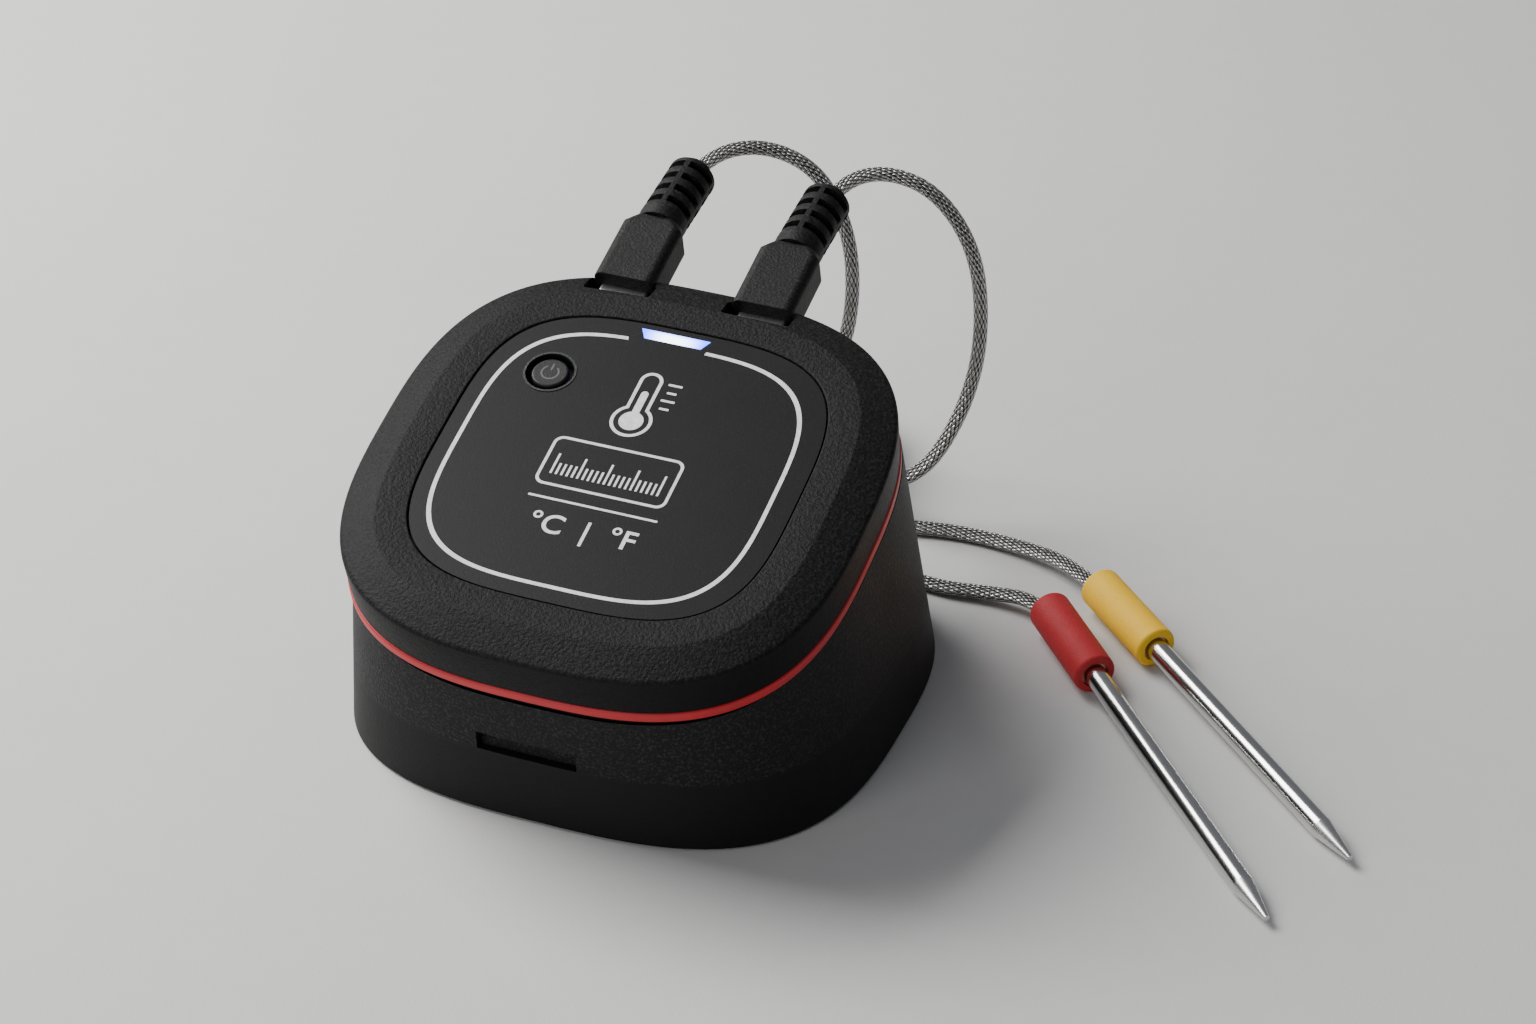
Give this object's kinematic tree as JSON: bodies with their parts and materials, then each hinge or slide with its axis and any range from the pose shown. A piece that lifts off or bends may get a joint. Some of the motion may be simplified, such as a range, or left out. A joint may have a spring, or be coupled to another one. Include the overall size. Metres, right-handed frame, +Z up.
{
  "type": "meat thermometer",
  "caption": "Tilted rounded-square meat thermometer head in a wedge cradle, with a red band, face button, light bar, and braided-cord probes with coloured collars.",
  "frame": {"origin": "middle of the cradle's footprint, on the table", "axes": "+Z up, +Y towards the back where the probes plug in, +X to the object's right seen from its front"},
  "size_m": [0.1438, 0.1134, 0.0531],
  "materials": {
    "shell_black": "fine grained matt black moulding",
    "panel_black": "smooth satin black face with pale print",
    "light": "clear blue-white light pipe",
    "accent_red": "satin red",
    "pad_rubber": "matt rubber",
    "plug_black": "grained soft black overmoulding",
    "bright_steel": "polished round stock",
    "plated": "nickel plate",
    "braid": "woven steel braid",
    "collar_red": "matt red silicone",
    "collar_yellow": "matt yellow silicone",
    "copper": "crimped copper sleeve",
    "board_green": "solder mask",
    "chip_black": "moulded chip",
    "cell_skin": "cell sleeve",
    "tray_grey": "plain moulding"
  },
  "bodies": {
    "base": {"base_shell": "shell_black", "base_floor": "shell_black", "foot_pad": "pad_rubber", "base_screws": "plated", "cradle_magnets": "plated", "mount_magnets": "plated"},
    "head": {"front_shell": "shell_black", "display_panel": "panel_black", "led_window": "light", "accent_ring": "accent_red", "rear_shell": "shell_black", "battery_door": "shell_black", "battery_cells": "cell_skin", "battery_tray": "tray_grey", "battery_springs": "plated", "battery_contacts": "plated", "circuit_board": "board_green", "switch_body": "chip_black", "radio_module": "plated", "processor_chip": "chip_black", "led_chips": "light", "red_socket": "plated", "yellow_socket": "plated", "keeper_discs": "plated", "case_screws": "plated"},
    "button": {"power_button": "panel_black", "switch_plunger": "chip_black"},
    "red_probe": {"red_plug_tip": "plated", "red_overmould": "plug_black", "red_boot": "plug_black", "red_cord": "braid", "red_lead": "braid", "red_coil": "braid", "red_crimp": "copper", "red_collar": "collar_red", "red_rod": "bright_steel", "red_sensor": "copper"},
    "yellow_probe": {"yellow_plug_tip": "plated", "yellow_overmould": "plug_black", "yellow_boot": "plug_black", "yellow_cord": "braid", "yellow_lead": "braid", "yellow_coil": "braid", "yellow_crimp": "copper", "yellow_collar": "collar_yellow", "yellow_rod": "bright_steel", "yellow_sensor": "copper"}
  },
  "joints": [
    {"name": "head_lift", "type": "slide", "parent": "base", "child": "head", "axis": [0, -0.2787, 0.9604], "range_m": [0, 0.016]},
    {"name": "button_press", "type": "slide", "parent": "head", "child": "button", "axis": [0, 0.2787, -0.9604], "range_m": [0, 0.0006], "stiffness_N_per_m": 400, "springref_m": -0.0008},
    {"name": "red_plug_pull", "type": "slide", "parent": "head", "child": "red_probe", "axis": [0, 0.9604, 0.2787], "range_m": [0, 0.004]},
    {"name": "yellow_plug_pull", "type": "slide", "parent": "head", "child": "yellow_probe", "axis": [0, 0.9604, 0.2787], "range_m": [0, 0.006]}
  ]
}
